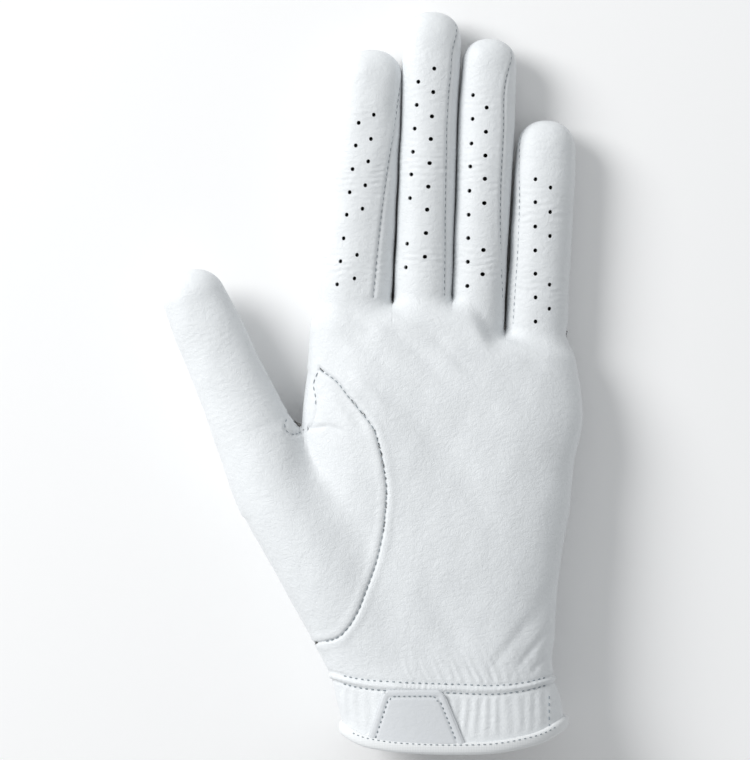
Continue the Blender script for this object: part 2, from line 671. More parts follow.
# Materials ------------------------------------------------------------------------------
def linear(hex_colour):
    """An sRGB hex colour as linear red, green, blue and alpha."""
    values = [int(hex_colour[k:k + 2], 16) / 255 for k in (1, 3, 5)]
    return [v / 12.92 if v <= 0.04045 else ((v + 0.055) / 1.055) ** 2.4 for v in values] + [1.0]


def add_node(tree, kind, settings=None, **links):
    """Adds a node, sets its properties and sockets, and links other sockets to it."""
    node = tree.nodes.new(kind)
    for key, value in (settings or {}).items():
        if hasattr(node, key):
            setattr(node, key, value)
        else:
            node.inputs[key].default_value = value
    for key, source in links.items():
        tree.links.new(source, node.inputs[key.replace("_", " ")])
    return node


def new_material(name, hex_colour, rough, specular):
    """A material with its shader set, and the rest place for its patterns."""
    material = bpy.data.materials.new(name)
    material.use_nodes = True
    tree = material.node_tree
    shader = tree.nodes["Principled BSDF"]
    shader.inputs["Base Color"].default_value = linear(hex_colour)
    shader.inputs["Roughness"].default_value = rough
    shader.inputs["Specular IOR Level"].default_value = specular
    place = add_node(tree, "ShaderNodeAttribute", {"attribute_name": "rest"})
    return material, tree, shader, place.outputs["Vector"]


def cabretta_leather(name, hex_colour, strength):
    """Cabretta, a thin drummed sheepskin: fine pebbled grain about 0.6 mm across, faint
    wandering wrinkles 2 to 4 mm apart, and a soft low sheen."""
    material, tree, shader, place = new_material(name, hex_colour, 0.52, 0.42)
    wander = add_node(tree, "ShaderNodeTexNoise", {"Scale": 0.16, "Detail": 2.0}, Vector=place)
    bent = add_node(tree, "ShaderNodeVectorMath", {"operation": "MULTIPLY_ADD"})
    tree.links.new(wander.outputs["Color"], bent.inputs[0])
    bent.inputs[1].default_value = (5.0, 5.0, 5.0)
    tree.links.new(place, bent.inputs[2])
    stretch = add_node(tree, "ShaderNodeMapping",
                       {"Rotation": (0, 0, 0.35), "Scale": (0.8, 1.25, 1.0)},
                       Vector=bent.outputs[0])
    wrinkle = add_node(tree, "ShaderNodeTexNoise",
                       {"Scale": 0.6, "Detail": 4.0, "Roughness": 0.55},
                       Vector=stretch.outputs[0])
    pebble = add_node(tree, "ShaderNodeTexVoronoi", {"feature": "DISTANCE_TO_EDGE", "Scale": 1.25},
                      Vector=bent.outputs[0])
    creases = add_node(tree, "ShaderNodeMapRange", {"From Max": 0.12},
                       Value=pebble.outputs["Distance"])
    first = add_node(tree, "ShaderNodeBump", {"Strength": 0.55 * strength, "Distance": 0.00045},
                     Height=wrinkle.outputs[0])
    second = add_node(tree, "ShaderNodeBump", {"Strength": 0.4 * strength, "Distance": 0.0001},
                      Height=creases.outputs[0], Normal=first.outputs[0])
    tree.links.new(second.outputs[0], shader.inputs["Normal"])
    patch = add_node(tree, "ShaderNodeTexNoise", {"Scale": 0.05, "Detail": 3.0}, Vector=place)
    ramp = add_node(tree, "ShaderNodeValToRGB", Fac=patch.outputs[0])
    ramp.color_ramp.elements[0].position, ramp.color_ramp.elements[1].position = 0.35, 0.7
    pale, deep = linear(hex_colour), [c * 0.965 for c in linear(hex_colour)[:3]] + [1.0]
    ramp.color_ramp.elements[0].color, ramp.color_ramp.elements[1].color = deep, pale
    tree.links.new(ramp.outputs[0], shader.inputs["Base Color"])
    shader.inputs["Sheen Weight"].default_value = 0.08
    return material


def plain_cloth(name, hex_colour, thread, rough):
    """Woven or knitted cloth: two sets of threads crossing, thread millimetres apart."""
    material, tree, shader, place = new_material(name, hex_colour, rough, 0.25)
    heights = []
    for direction in ("X", "Y"):
        wave = add_node(tree, "ShaderNodeTexWave",
                        {"bands_direction": direction, "Scale": 0.314 / thread, "Distortion": 0.6},
                        Vector=place)
        heights.append(wave.outputs["Fac"])
    total = add_node(tree, "ShaderNodeMath", {"operation": "MAXIMUM"})
    tree.links.new(heights[0], total.inputs[0])
    tree.links.new(heights[1], total.inputs[1])
    bump = add_node(tree, "ShaderNodeBump", {"Strength": 0.6, "Distance": 0.00012},
                    Height=total.outputs[0])
    tree.links.new(bump.outputs[0], shader.inputs["Normal"])
    return material


def leather_inside(name, hex_colour):
    """The flesh side of the leather: a matt suede nap, in its own shadow."""
    material, tree, shader, place = new_material(name, hex_colour, 0.95, 0.1)
    nap = add_node(tree, "ShaderNodeTexNoise", {"Scale": 2.5, "Detail": 3.0}, Vector=place)
    bump = add_node(tree, "ShaderNodeBump", {"Strength": 0.4, "Distance": 0.0001},
                    Height=nap.outputs[0])
    tree.links.new(bump.outputs[0], shader.inputs["Normal"])
    return material


def material_named(name):
    """A finish by name, made the first time that it is asked for."""
    if name in bpy.data.materials:
        return bpy.data.materials[name]
    finish = bpy.context.scene.glove_finish
    recipes = {
        "white_cabretta": (cabretta_leather, finish.leather_hex, 1.0),
        "patch_cabretta": (cabretta_leather, finish.patch_hex, 0.5),
        "suede_flesh_side": (leather_inside, "#8C8A88"),
        "polyester_thread": (plain_cloth, finish.thread_hex, 0.35, 0.6),
        "binding_tape": (plain_cloth, finish.tape_hex, 0.5, 0.7),
        "hook_and_loop": (plain_cloth, "#E4E6E8", 0.7, 0.95),
        "label_satin": (plain_cloth, "#F2F3F4", 0.3, 0.5),
    }
    recipe, *settings = recipes[name]
    return recipe(name, *settings)


# Panels ---------------------------------------------------------------------------------
def leather(name, shells, body, node):
    """A leather piece that rides on a body, or between two, and stands for its CAD node."""
    piece = build_piece(name, shells, material_named("white_cabretta"),
                        material_named("suede_flesh_side"))
    settled(piece, body, [node])


def leather_thickness():
    """The thickness of the leather in millimetres."""
    return bpy.context.scene.glove_finish.leather / MM


def spread(u, left, right):
    """Grid spacing from 0 to 1, closer together at the ends that are asked for."""
    if left and right:
        return (1 - np.cos(np.pi * u)) / 2
    if left:
        return 1 - np.sin((1 - u) * np.pi / 2)
    if right:
        return np.sin(u * np.pi / 2)
    return u


CROTCH = crotch()
ROW_SPAN = (-112.0, 26.0)


def palm_left(y, up):
    """The left edge of the palm's leather: the outline, or the seam of the thumb's."""
    outline = palm_edge(y, -1)
    wrist = y < SEAM_FOOT[0]
    if up:
        seam = np.maximum(through(THUMB_SEAM, y), outline)
        above = SEAM_TOP[1] + (outline - SEAM_TOP[1]) * ease(y, 6, 25)
        return np.where(wrist, outline, np.where(y < SEAM_TOP[0], seam, above))
    web_x = np.interp(y, (WEB[1], CROTCH[1]), (WEB[0], CROTCH[0]))
    above = np.where(y < CROTCH[1], web_x, outline)
    return np.where(wrist, outline, np.where(y < WEB[1], through(THUMB_MIDDLE, y), above))


def hand_grid(up, rows):
    """The palm side or the back as one grid of four lanes, one running into each finger.

    Along a row x goes from the left edge through the lines from the forks to the right
    edge, and y runs from the hem to the rings where the fingers leave."""
    hem = HEM_PALM if up else HEM_BACK
    rings = [root_ring(name, up, LANE_COLS) for name in FINGERS]
    for first, second in zip(rings, rings[1:]):
        middle = (first[-1] + second[0]) / 2
        first[-1] = second[0] = middle
    # The rows lie closer together at the foot of the thumb's seam
    low, high = ROW_SPAN
    guide = np.linspace(low, high, 1400)
    dense_by = np.cumsum(1 + 4 * hump(guide, -83.0, 3.5))
    row_y = np.interp(np.linspace(dense_by[0], dense_by[-1], rows), dense_by, guide)
    t = (row_y - low) / (high - low)
    ys = np.linspace(low - 2, high + 1, 1410)
    lines = [palm_left(ys, up)] + [through(line, ys) for line in FORK_LINES] + [palm_edge(ys, 1)]
    xs, heights = [], []
    for k, ring in enumerate(rings):
        ends = [np.interp(ring[:, 1], ys, line) for line in lines[k:k + 2]]
        goal = np.clip((ring[:, 0] - ends[0]) / (ends[1] - ends[0]), 0, 1)
        goal[0], goal[-1] = 0, 1
        u = spread(np.linspace(0, 1, LANE_COLS), k == 0, k == 3)
        foot = [np.interp(-108.0, ys, line) for line in lines[k:k + 2]]
        foot_y = through(hem, foot[0] + (foot[1] - foot[0]) * u)
        y = foot_y + t[:, None] * (ring[:, 1] - foot_y)
        u = u + (goal - u) * ease(t, 0.80, 1.0)[:, None]
        left = np.interp(y[:, :1] if k == 0 else y, ys, lines[k])
        right = np.interp(y[:, -1:] if k == 3 else y, ys, lines[k + 1])
        xs.append(left + (right - left) * u)
        heights.append(y)
    point = skin_point(np.concatenate(xs, 1), np.concatenate(heights, 1), up)
    point[-1] = np.concatenate(rings)
    keepers = [k for k in range(4 * LANE_COLS) if k % LANE_COLS or k == 0]
    return point[:, keepers]


def strip_grid(left, right, rows, cols, ends=(True, True), up=True, last=None):
    """A grid between two lines of points, whose last row can be a given ring."""
    t = np.linspace(0, 1, rows)
    a = np.stack([np.interp(t, np.linspace(0, 1, len(left)), left[:, k]) for k in (0, 1)], -1)
    b = np.stack([np.interp(t, np.linspace(0, 1, len(right)), right[:, k]) for k in (0, 1)], -1)
    u = spread(np.linspace(0, 1, cols), *ends) * np.ones((rows, 1))
    if last is not None:
        chord = b[-1] - a[-1]
        goal = np.clip((last[:, :2] - a[-1]) @ chord / (chord @ chord), 0, 1)
        u = u + (goal - u) * ease(t, 0.75, 1.0)[:, None]
    flat = a[:, None, :] * (1 - u[..., None]) + b[:, None, :] * u[..., None]
    point = skin_point(flat[..., 0], flat[..., 1], up)
    if last is not None:
        point[-1] = last
    return point


def make_palm():
    """Palm leather: four lanes, and the strip down the index finger's side."""
    thick = leather_thickness()
    point = raised(hand_grid(True, 270), UP, palm_relief, 0.03)
    keep = np.ones((point.shape[0] - 1, point.shape[1] - 1), bool)
    for k in (1, 2, 3):
        fork = k * (LANE_COLS - 1)
        keep[-3:, fork - 1:fork + 1] = False
    shells = [shell(point, thick, UP, keep)]
    y = np.linspace(WEB[1], 25.0, 400)
    outer_x = palm_left(y, False)
    outer_x[0] = WEB[0]
    outer = np.stack([outer_x, y], -1)
    inner_x = np.where(y < SEAM_TOP[0], through(SIDE_SEAM, y), palm_left(y, True))
    inner = np.stack([np.maximum(inner_x, outer_x + 0.02), y], -1)
    strip = strip_grid(outer, inner, 70, 14, (True, False))
    shells.append(shell(raised(strip, UP, palm_relief, 0.08), thick, UP))
    leather("palm_panel", shells, "hand", "palm_leather")


def thumb_root(up, rows, cols):
    """The thumb's side of its leather: from the wrist to the ring where the tube starts."""
    ring = root_ring("thumb", up, cols)
    y = np.linspace(SEAM_FOOT[0] + 0.5, ring[0, 1], 60)
    left = np.concatenate([[THUMB_MIDDLE[0][::-1]], np.stack([thumb_edge(y), y], -1)])
    y = np.linspace(SEAM_FOOT[0], WEB[1], 60)
    right = np.stack([through(THUMB_MIDDLE, y), y], -1)
    y = np.linspace(CROTCH[1], ring[-1, 1], 8)[1:-1]
    inner = edge_between(y, np.full_like(y, -36.0), through(WEB_GAP, y))
    right = np.concatenate([right, [CROTCH], np.stack([inner, y], -1), [ring[-1, :2]]])
    return strip_grid(even_line(left), even_line(right), rows, cols, (True, True), up, ring)


def even_line(points):
    """The same line as 300 points that are evenly spaced in length."""
    length = np.concatenate([[0], np.cumsum(np.hypot(*np.diff(points, axis=0).T))])
    even = np.linspace(0, length[-1], 300)
    return np.stack([np.interp(even, length, points[:, k]) for k in (0, 1)], -1)


def make_thumb_ball():
    """The set-in thumb's leather on the palm side, with the lobe that rises by the web."""
    thick = leather_thickness()
    root = raised(thumb_root(True, 110, 40), UP, palm_relief, 0.06)
    seam = line_points(THUMB_SEAM, SEAM_FOOT[0], SEAM_TOP[0], 300)
    y = seam[:, 1]
    left_x = np.where(y < WEB[1], through(THUMB_MIDDLE, y), through(SIDE_SEAM, y))
    way = np.gradient(seam, axis=0)
    way /= np.linalg.norm(way, axis=1, keepdims=True)
    allowance = 0.9 * ease(np.linspace(0, 1, 300), 0.0, 0.02) * ease(SEAM_TOP[0] - y, 0.0, 2.0)
    right = seam + np.stack([way[:, 1], -way[:, 0]], -1) * allowance[:, None]
    lobe = strip_grid(np.stack([left_x, y], -1), right, 190, 44, (False, True))
    x, y = lobe[..., 0], lobe[..., 1]
    under = distance_to(SEAM_POINTS, x, y) * (x > through(THUMB_SEAM, y))
    lobe = push_out(lobe, UP, palm_relief(x, y) - 0.9 * ease(under, 0.0, 0.4))
    shells = [
        shell(root, thick, UP, first_pole=True),
        shell(lobe, thick, UP, first_pole=True, last_pole=True),
    ]
    leather("thumb_ball_panel", shells, "hand", "thumb_ball_leather")


def make_gusset():
    """The tuck of leather behind the web, between the thumb and the index finger's side.

    From a line inside the web, rays fan round in planes across it to the hand form, and
    the piece lies just under that."""
    x = np.linspace(-26.6, -20.6, 26)[:, None] * np.ones(60)
    turn = np.linspace(1.75, -1.75, 60) * np.ones((26, 1))
    start = np.stack([x, np.full(x.shape, -18.0), waist(x, np.full(x.shape, -18.0))], -1)
    ray = np.stack([np.zeros(x.shape), np.cos(turn), np.sin(turn)], -1)
    point = start + ray * (crossing(hand_field, start, ray, 16.0)[..., None] - 0.3)
    leather("web_gusset_piece", [shell(point, 0.4, ray)], "hand", "thumb_web_gusset")


def make_back():
    """The back of the hand, open down the vent at the cuff, and the back of the thumb."""
    thick = leather_thickness()
    point = raised(hand_grid(False, 200), DOWN, back_relief, 0.05)
    point[..., 2] = np.maximum(point[..., 2], FLOOR_GAP)
    keep = np.ones((point.shape[0] - 1, point.shape[1] - 1), bool)
    vent_low, vent_high = node_box("vent_binding")
    middle_y = (point[:-1, :-1, 1] + point[1:, 1:, 1]) / 2
    middle_x = (point[:-1, :-1, 0] + point[1:, 1:, 0]) / 2
    vent_x = (vent_low[0] + vent_high[0]) / 2
    keep[(middle_y < vent_high[1] - 2.2) & (np.abs(middle_x - vent_x) < 1.9)] = False
    leather("back_panel", [shell(point, thick, DOWN, keep)], "hand", "back_leather")
    root = raised(thumb_root(False, 90, 36), DOWN, thumb_back_relief, 0.06)
    leather("thumb_back_root_panel", [shell(root, thick, DOWN, first_pole=True)], "hand",
            "thumb_back_root")


# Digits ---------------------------------------------------------------------------------
def digit_rows(name, segment):
    """Distances along a digit of one segment's rows: even, then closing in on the tip."""
    digit = DIGITS[name]
    cut, start = digit["bend"] / 2, digit["length"] - digit["dome"]
    if segment == "lower":
        leaves = digit["leaves"][0]
        return np.linspace(leaves, cut, int((cut - leaves) / DIGIT_ROW_STEP) + 1)
    straight = np.linspace(cut, start, int((start - cut) / DIGIT_ROW_STEP) + 1)
    dome = start + digit["dome"] * np.sin(np.linspace(0, np.pi / 2, 26)[1:])
    return np.concatenate([straight, dome])


def blend_zone(name, segment):
    """The two bodies that a segment's leather joins, and where it turns between them."""
    digit = DIGITS[name]
    half = digit["bend"] / 2 - 0.3
    if segment == "lower":
        pair, centre = ("hand", f"{name}_lower"), 0.0
        reach = (min(half, -digit["leaves"][0] - 0.4), half)
    else:
        pair, centre = (f"{name}_lower", f"{name}_upper"), digit["bend"]
        reach = (half, half)
    points = [digit["base"] + digit["along"] * (centre + r) for r in (-reach[0], reach[1])]
    return (*pair, tuple(points[0] * MM), tuple(points[1] * MM))


def strip_edge(name, angle, s):
    """The angle of a strip's edge at each distance: a fixed one, or the free seam's."""
    return through(DIGITS[name]["seams"], s) if angle is None else np.full_like(s, angle)


# The ring of grid points round a perforation, as rows and columns from its middle
HOLE_RING = np.array([(i, j) for i in range(-2, 3) for j in range(-2, 3)
                      if max(abs(i), abs(j)) == 2]).T


def hole_places(name):
    """Where a finger's perforations are: distance along it and offset across its axis."""
    draw = np.random.default_rng(HOLE_SEED)
    places = []
    for s_low, q_low, s_high, q_high, count in DIGITS[name]["holes"]:
        t = np.linspace(0, 1, count)
        s = s_low + (s_high - s_low) * t + draw.uniform(-0.15, 0.15, count)
        q = q_low + (q_high - q_low) * t + draw.uniform(-0.08, 0.08, count)
        places += list(zip(s, q))
    return places


def cut_holes(name, s, angle, keep):
    """Draws the grid in to a circle round each perforation and takes out what is inside."""
    radius = bpy.context.scene.glove_finish.perforation / MM / 2
    i, j = HOLE_RING
    way = np.arctan2(i, j)
    for place, across in hole_places(name):
        wide = through(DIGITS[name]["girth"], place)
        turn = math.degrees(math.asin(np.clip(across / wide, -1, 1)))
        row = int(np.argmin(np.abs(s.mean(1) - place)))
        column = int(np.argmin(np.abs(angle[row] - turn)))
        if not s[2, column] + HOLE_MARGIN < place < s[-3, column] - HOLE_MARGIN:
            continue
        row = int(np.argmin(np.abs(s[:, column] - place)))
        s[row + i, column + j] = place + radius * np.sin(way)
        angle[row + i, column + j] = turn + np.degrees(radius * np.cos(way) / (wide * 0.93))
        keep[row - 2:row + 2, column - 2:column + 2] = False


def make_digit(name):
    """A finger or the thumb: strips between its seams, each in two lengths."""
    thick = leather_thickness()
    for segment in ("lower", "upper"):
        row_s = digit_rows(name, segment)
        for strip, angles in DIGITS[name]["strips"].items():
            edges = [strip_edge(name, angle, row_s) for angle in angles]
            arc = np.abs(edges[1] - edges[0]).max() * np.pi / 180 * 10
            cols = max(8, int(arc / (DIGIT_ROW_STEP if strip == "face" else 0.7)) + 1)
            u = np.linspace(0, 1, cols)
            angle = edges[0][:, None] * (1 - u) + edges[1][:, None] * u
            s = row_s[:, None] * np.ones(cols)
            if segment == "lower":
                share = (s - row_s[0]) / (row_s[-1] - row_s[0])
                s = leaving(name, angle) * (1 - share) + row_s[-1] * share
            keep = np.ones((len(row_s) - 1, cols - 1), bool)
            if strip == "face":
                cut_holes(name, s, angle, keep)
            point, ray = digit_skin(name, s, angle)
            relief = digit_relief(name, s, angle)
            end = DIGITS[name]["length"]
            relief = relief * (1 - ease(s, end - DIGITS[name]["dome"] + 3, end - 1.5))
            relief = relief * ease(s - leaving(name, angle), 0.0, 1.5)
            point = push_out(point, ray, relief)
            point[..., 2] = np.maximum(point[..., 2], FLOOR_GAP)
            wall = shell(point, thick, ray, keep, last_pole=segment == "upper")
            leather(f"{name}_{segment}_{strip}_panel", [wall], blend_zone(name, segment),
                    f"{name}_{segment}_{strip}")


# Trims ----------------------------------------------------------------------------------
def trim(name, x, y, up, layer, body, node, finish, relief=0.0):
    """A flat piece that lies on the skin, or under it, between two distances from it."""
    low, high = layer
    outward = UP if up else DOWN
    skin = skin_point(x, y, up)
    point = push_out(skin, outward, np.full(x.shape, float(high)) + relief)
    piece = build_piece(name, [shell(point, high - low, outward)], material_named(finish),
                        material_named(finish))
    settled(piece, body, [node])


def round_strip(x_range, y_range, corner, rows, cols):
    """Grid of a strip across the wrist whose far end has two round corners."""
    u, v = np.meshgrid(np.linspace(0, 1, cols), np.linspace(0, 1, rows))
    x = x_range[0] + (x_range[1] - x_range[0]) * u
    y = y_range[0] + (y_range[1] - y_range[0]) * v
    if corner:
        middle, half = sum(y_range) / 2, (y_range[1] - y_range[0]) / 2
        off = np.maximum(np.abs(y - middle) - (half - corner), 0)
        pull = corner - np.sqrt(np.maximum(corner**2 - off**2, 0))
        x = x_range[0] + (x_range[1] - x_range[0] - pull) * u
    return x, y


def sweep(name, node, finish, path, outward, half_wide, half_high, sink, closed):
    """A soft tape folded over an edge: a squarish oval carried along a path on the skin,
    its width lying across the path and its height along the outward direction."""
    count = 22
    turn = np.linspace(0, 2 * np.pi, count, endpoint=False)
    c, s = np.cos(turn), np.sin(turn)
    across_by = np.sign(c) * np.abs(c) ** 0.75 * half_wide
    out_by = np.sign(s) * np.abs(s) ** 0.85 * half_high - sink
    if closed:
        way = np.roll(path, -1, 0) - np.roll(path, 1, 0)
    else:
        way = np.gradient(path, axis=0)
    way /= np.linalg.norm(way, axis=1, keepdims=True)
    out = outward - way * np.sum(outward * way, 1, keepdims=True)
    out /= np.linalg.norm(out, axis=1, keepdims=True)
    across = np.cross(way, out)
    point = path[:, None] + across[:, None] * across_by[:, None] + out[:, None] * out_by[:, None]
    rows = len(path)
    i = np.arange(rows if closed else rows - 1)[:, None]
    j = np.arange(count)
    k, n = (j + 1) % count, (i + 1) % rows
    faces = np.stack([i * count + j, i * count + k, n * count + k, n * count + j], -1)
    faces = faces.reshape(-1, 4).tolist()
    if not closed:
        faces += [list(range(count))[::-1], list(range((rows - 1) * count, rows * count))]
    settled(build_tape(name, point, faces, finish), "hand", [node])


def surface_frame(surface, flat, up, step):
    """Points of a surface given by x and y, and its normals from points a step to each
    side."""
    x, y = flat.T
    normal = np.cross(surface(x + step, y) - surface(x - step, y),
                      surface(x, y + step) - surface(x, y - step))
    normal /= np.linalg.norm(normal, axis=1, keepdims=True)
    return surface(x, y), normal if up else -normal


def skin_frame(flat, up):
    """Points of the hand form under a line of x and y, and the way out of it at each."""
    return surface_frame(partial(skin_point, up=up), flat, up, 0.3)


def hem_loop(count):
    """The line of the hem all round the cuff, and the way out of the cuff at each point."""
    u = spread(np.linspace(0, 1, count), True, True)
    loops = []
    for up, hem in ((True, HEM_PALM), (False, HEM_BACK)):
        ends = [palm_edge(np.array([y]), side)[0]
                for y, side in ((HEM_LEFT[1], -1), (HEM_RIGHT[1], 1))]
        x = ends[0] + (ends[1] - ends[0]) * u
        point = skin_point(x, through(hem, x), up)
        loops.append(point if up else point[::-1])
    path = np.concatenate([loops[0], loops[1][1:-1]])
    middle = np.array([24.0, -106.0, 20.0])
    outward = (path - middle) * np.array([0.35, 0.0, 1.0])
    return path, outward / np.linalg.norm(outward, axis=1, keepdims=True)


PATCH_TOP_X = (3.2, 20.8)
PATCH_Y = (-110.6, -94.45)
PATCH_STITCH_Y = -96.4


def patch_outline(y):
    """The left and right edges of the cuff patch: sloping sides with round top corners."""
    low, high = node_box("cuff_patch")
    top, corner = high[1], 3.0
    share = (top - y) / 15.9
    left, right = PATCH_TOP_X[0] - 5.0 * share, PATCH_TOP_X[1] + 6.5 * share
    drop = np.clip(corner - (top - y), 0, corner)
    pull = corner - np.sqrt(corner**2 - drop**2)
    return left + pull, right - pull


def patch_stitch_line():
    """The row of stitches inside the patch's edge: up one side, over the top and down."""
    side_y = np.linspace(-109.5, -96.5, 60)
    left, right = patch_outline(side_y)
    top = np.linspace(6.4, 17.6, 40)
    bend = np.linspace(0, np.pi / 2, 8)
    corner_y = PATCH_STITCH_Y - 1.4 * (1 - np.cos(bend))
    return even_line(np.concatenate([
        np.stack([left + 2.3, side_y], -1)[:-6],
        np.stack([6.6 - 1.6 * np.sin(bend), corner_y], -1)[::-1],
        np.stack([top, np.full(40, PATCH_STITCH_Y)], -1),
        np.stack([17.4 + 1.6 * np.sin(bend), corner_y], -1),
        np.stack([right - 2.3, side_y], -1)[:-6][::-1],
    ]))


def make_trims():
    """Binding, patch, label, elastic and the closure."""
    path, outward = hem_loop(150)
    sweep("hem_piping", "hem_binding", "binding_tape", path, outward, 1.9, 1.5, 0.15, True)
    y = np.linspace(PATCH_Y[1], PATCH_Y[0], 90)[:, None] * np.ones(80)
    left, right = patch_outline(y)
    u = spread(np.linspace(0, 1, 80), True, True)
    x = left + (right - left) * u
    inset = np.minimum(np.minimum(x - left, right - x), PATCH_Y[1] - y)
    puff = 0.3 * ease(inset, 0.0, 0.8) - 0.25 * hump(inset, 2.3, 0.45) - 0.3
    trim("patch_leather_piece", x, y, True, (0.3, 1.1), "hand", "cuff_patch",
         "patch_cabretta", puff)
    point, normal = skin_frame(patch_stitch_line(), True)
    stitches("patch_stitches", [(point + normal * 0.87, normal)], "hand", 1.55, 0.85, 0.36, -0.02)
    keep = (path[:, 2] > 20) & (path[:, 0] > -6) & (path[:, 0] < 55)
    rise = path[keep] + outward[keep] * 1.12 + np.array([0.0, 1.2, 0.0])
    stitches("hem_stitches", [(rise, outward[keep])], "hand", 1.8, 0.9, 0.34, -0.02)
    # Each is a name, a node, the palm side or not, two distances from the skin and a finish
    for name, node, up, layer, finish, slot in (
        ("loop_tape_pad", "loop_pad", False, (0.02, 0.8), "hook_and_loop", "loop_tape"),
        ("back_elastic_band", "back_elastic", False, (-1.3, -0.6), "binding_tape", "elastic"),
        ("size_label_tape", "size_label", True, (-1.1, -0.75), "label_satin", "label_cloth"),
    ):
        low, high = node_box(node)
        x, y = round_strip((low[0], high[0]), (low[1], high[1]), 0.0, 40, 46)
        trim(name, x, y, up, layer, "hand", node, finish)
    x, y = round_strip((-8.0, 50.0), (-95.0, -92.0), 0.0, 12, 120)
    y = y + 93.5 + (through(CASING_TOP, x) + through(CASING_FOOT, x)) / 2
    trim("wrist_elastic_band", x, y, True, (-1.3, -0.6), "hand", "wrist_elastic",
         "binding_tape")
    make_closure()
    make_vent()


def make_vent():
    """The binding that runs up one side of the vent, round its top and down the other."""
    low, high = node_box("vent_binding")
    middle, top = (low[0] + high[0]) / 2, high[1] - 3.1
    side_y = np.linspace(-100.4, top, 60)
    turn = np.linspace(np.pi, 0, 24)[1:-1]
    line = np.concatenate([
        np.stack([np.full(60, middle - 3.1), side_y], -1),
        np.stack([middle + 3.1 * np.cos(turn), top + 3.1 * np.sin(turn)], -1),
        np.stack([np.full(60, middle + 3.1), side_y[::-1]], -1),
    ])
    point, normal = skin_frame(line, False)
    sweep("vent_piping", "vent_binding", "binding_tape", point, normal, 1.15, 0.42, -0.1, False)


def make_closure():
    """The tab, its hook pad and the sewn end that it turns from."""
    for name, node, corner, layer, body, finish, slot in (
        ("closure_tab_leather", "closure_tab", 7.0, (1.65, 2.85), "tab", "patch_cabretta",
         "tab_leather"),
        ("hook_tape_pad", "hook_pad", 0.0, (0.92, 1.6), "tab", "hook_and_loop", "hook_tape"),
        ("tab_anchor_leather", "tab_anchor", 0.0, (0.02, 2.85), "hand", "patch_cabretta",
         "tab_leather"),
    ):
        low, high = node_box(node)
        x, y = round_strip((low[0], high[0]), (low[1], high[1]), corner, 70, 110)
        inset = np.minimum(np.minimum(x - low[0], high[0] - x),
                           np.minimum(y - low[1], high[1] - y))
        relief = -0.25 * (1 - ease(inset, 0, 0.8)) if corner else 0.0
        trim(name, x, y, False, layer, body, node, finish, relief)


# Stitches -------------------------------------------------------------------------------
def picked(rows, reach, at):
    """Rows of a table read at some lengths, where reach is the length up to each row."""
    return np.stack([np.interp(at, reach, column) for column in rows.T], -1)


def stitches(name, runs, body, pitch, length, thread, sink):
    """Rows of stitches. Each is a small pill along its seam whose ends dip into the leather:
    a ring of six points carried along a short arch."""
    rings, sides = 5, 6
    x = np.linspace(-0.5, 0.5, rings)
    taper = np.sqrt(np.maximum(1 - (2 * x) ** 4, 0.08))
    turn = np.linspace(0, 2 * np.pi, sides, endpoint=False)
    verts, faces, base = [], [], 0
    i = np.arange(rings - 1)[:, None] * sides
    j, k = np.arange(sides), (np.arange(sides) + 1) % sides
    side = np.stack([i + j, i + sides + j, i + sides + k, i + k], -1).reshape(-1, 4)
    for points, normals in runs:
        steps = np.linalg.norm(np.diff(points, axis=0), axis=1)
        reach = np.concatenate([[0], np.cumsum(steps)])
        count = max(1, int(reach[-1] / pitch))
        at = (np.arange(count) + 0.5) * reach[-1] / count
        centre, up = picked(points, reach, at), picked(normals, reach, at)
        way = picked(points, reach, at + 0.3) - picked(points, reach, at - 0.3)
        way /= np.linalg.norm(way, axis=1, keepdims=True)
        up -= way * np.sum(up * way, 1, keepdims=True)
        up /= np.linalg.norm(up, axis=1, keepdims=True)
        cross = np.cross(way, up)
        arch = thread * (0.55 - 1.5 * (2 * x) ** 4 * 0.5) - sink
        local = np.stack([
            np.repeat(x * length, sides),
            np.repeat(arch, sides) + np.outer(taper, np.cos(turn)).ravel() * thread / 2,
            np.outer(taper, np.sin(turn)).ravel() * thread / 2,
        ], -1)
        block = (centre[:, None] + way[:, None] * local[None, :, :1]
                 + up[:, None] * local[None, :, 1:2] + cross[:, None] * local[None, :, 2:])
        verts.append(block.reshape(-1, 3))
        size = rings * sides
        starts = base + np.arange(count)[:, None, None] * size
        faces += (side[None] + starts).reshape(-1, 4).tolist()
        ends = np.stack([np.arange(sides)[::-1], np.arange(sides) + (rings - 1) * sides])
        faces += (ends[None] + starts).reshape(-1, sides).tolist()
        base += count * size
    piece = build_tape(name, np.concatenate(verts), faces, "polyester_thread")
    settled(piece, body, ())


def on_palm(flat):
    """Points and normals of the finished palm side under a line of x and y."""
    def palm(x, y):
        point = skin_point(x, y, True)
        point[:, 2] += palm_relief(x, y)
        return point
    return surface_frame(palm, flat, True, 0.25)


